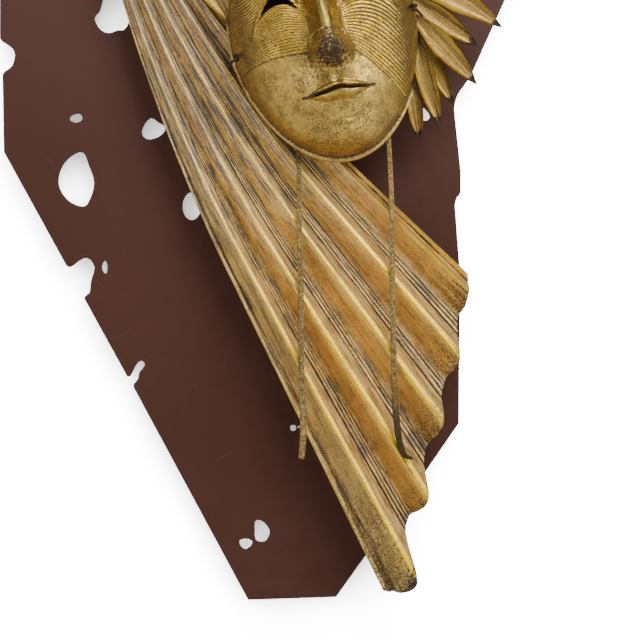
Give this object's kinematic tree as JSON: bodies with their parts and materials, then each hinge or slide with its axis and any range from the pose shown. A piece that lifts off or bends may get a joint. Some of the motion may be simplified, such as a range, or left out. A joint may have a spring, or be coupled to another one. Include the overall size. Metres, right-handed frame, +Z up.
{
  "type": "starburst wall mask",
  "caption": "Wall plaque: hollow gilded half mask with a swirl of leaf rays over a pleated gilded drape, on a torn painted sheet-metal plate, with two hanging ties.",
  "frame": {"origin": "on the plate's flat back, where it lies against the wall, behind the top of the mask", "axes": "+Z up, +Y into the wall, the face looks along -Y"},
  "size_m": [0.411, 0.1053, 0.6465],
  "materials": {
    "painted_sheet": "satin brown-red paint with fine scratches",
    "gilding": "worn gold leaf over bole, rubbed and speckled",
    "tie": "dusty gilded strap"
  },
  "bodies": {
    "root": {"back_plate": "painted_sheet", "pleated_drape": "gilding", "sunburst_mask": "gilding", "left_tie": "tie", "left_tie_knot": "tie", "right_tie": "tie", "right_tie_knot": "tie"}
  },
  "joints": []
}
